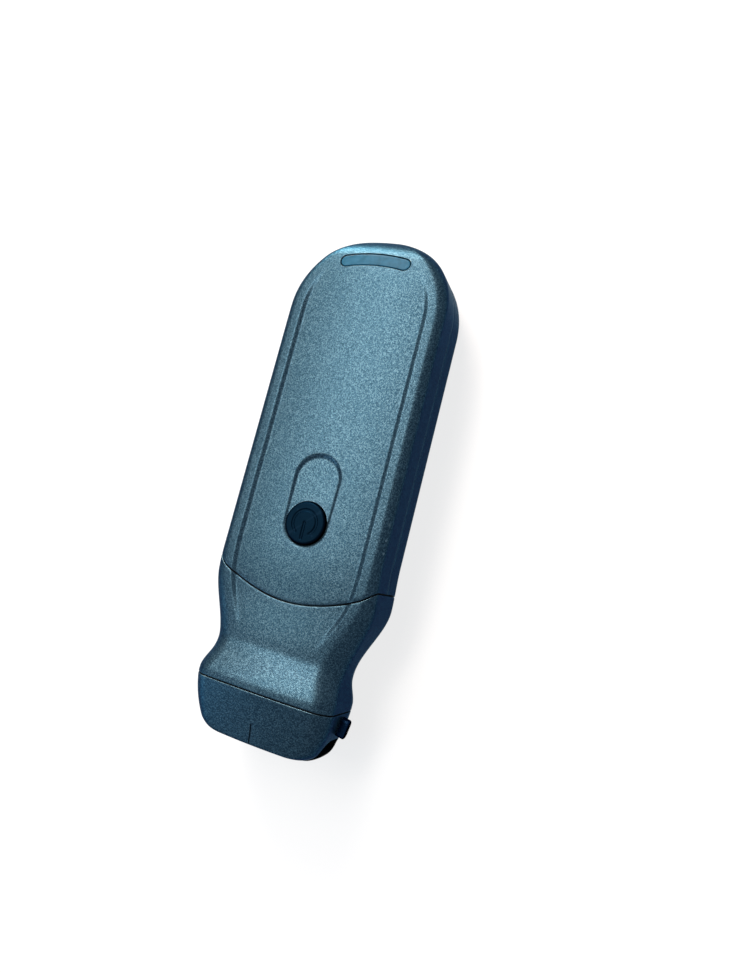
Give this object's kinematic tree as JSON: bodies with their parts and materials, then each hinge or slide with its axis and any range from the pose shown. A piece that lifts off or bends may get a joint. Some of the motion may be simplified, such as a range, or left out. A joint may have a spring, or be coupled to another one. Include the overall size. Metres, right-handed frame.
{
  "type": "wireless ultrasound probe",
  "caption": "Hand-held wireless ultrasound probe: flat rounded grip with a dished front, a power button and a status window, a waisted neck and a flared linear-array head.",
  "frame": {"origin": "middle of the overall length and width, on the flat of the back", "axes": "+X to the right as seen from the button side with the tail up, +Y from the lens towards the tail, +Z out of the front face with the button"},
  "size_m": [0.053, 0.1598, 0.0274],
  "materials": {
    "housing_paint": "fine metallic speckle, satin",
    "seam_rubber": "matte",
    "button_rubber": "fine matte grain",
    "marker_plastic": "satin black",
    "lens_silicone": "smooth silicone",
    "matching_resin": "filled resin",
    "crystal_gilt": "gilt-faced ceramic",
    "backing_epoxy": "filled epoxy",
    "carrier_alloy": "machined",
    "flex_film": "amber film",
    "switch_black": "moulded",
    "plunger_white": "moulded",
    "window_smoke": "smoke-blue, translucent",
    "board_green": "solder mask",
    "lamp_yellow": "phosphor cap",
    "chip_black": "moulded epoxy",
    "pad_grey": "soft pad",
    "spreader_alloy": "rolled",
    "shield_tin": "tin-plated",
    "antenna_ceramic": "glazed ceramic",
    "connector_ivory": "moulded",
    "frame_nylon": "glass-filled nylon",
    "screw_steel": "zinc-plated",
    "plug_rubber": "matte",
    "battery_foil": "laminated foil",
    "coil_copper": "enamelled copper wire",
    "ferrite_grey": "sintered"
  },
  "bodies": {
    "housing": {"front_shell": "housing_paint", "rear_shell": "housing_paint", "shell_seal": "seam_rubber", "neck_shell": "housing_paint", "neck_seal": "seam_rubber", "nose_cap": "housing_paint", "nose_seal": "seam_rubber", "orientation_marker": "marker_plastic", "acoustic_lens": "lens_silicone", "matching_layer": "matching_resin", "piezo_array": "crystal_gilt", "backing_block": "backing_epoxy", "array_carrier": "carrier_alloy", "array_flex": "flex_film", "button_seal": "seam_rubber", "power_switch": "switch_black", "indicator_window": "window_smoke", "indicator_board": "board_green", "indicator_leds": "lamp_yellow", "main_board": "board_green", "front_end_chips": "chip_black", "processor_chip": "chip_black", "memory_chips": "chip_black", "thermal_pad": "pad_grey", "heat_spreader": "spreader_alloy", "rf_shield": "shield_tin", "antenna": "antenna_ceramic", "board_connectors": "connector_ivory", "inner_frame": "frame_nylon", "board_screws": "screw_steel", "shell_screws": "screw_steel", "screw_plugs": "plug_rubber", "battery": "battery_foil", "charge_coil": "coil_copper", "charge_ferrite": "ferrite_grey"},
    "button": {"power_button": "button_rubber"},
    "plunger": {"switch_plunger": "plunger_white"}
  },
  "joints": [
    {"name": "button_press", "type": "slide", "parent": "housing", "child": "button", "axis": [0, 0, -1], "range_m": [0, 0.0005], "stiffness_N_per_m": 2700},
    {"name": "plunger_press", "type": "slide", "parent": "housing", "child": "plunger", "axis": [0, 0, -1], "range_m": [0, 0.0005]}
  ],
  "couplings": [
    {"joint": "plunger_press", "follows": "button_press", "ratio": 1}
  ]
}
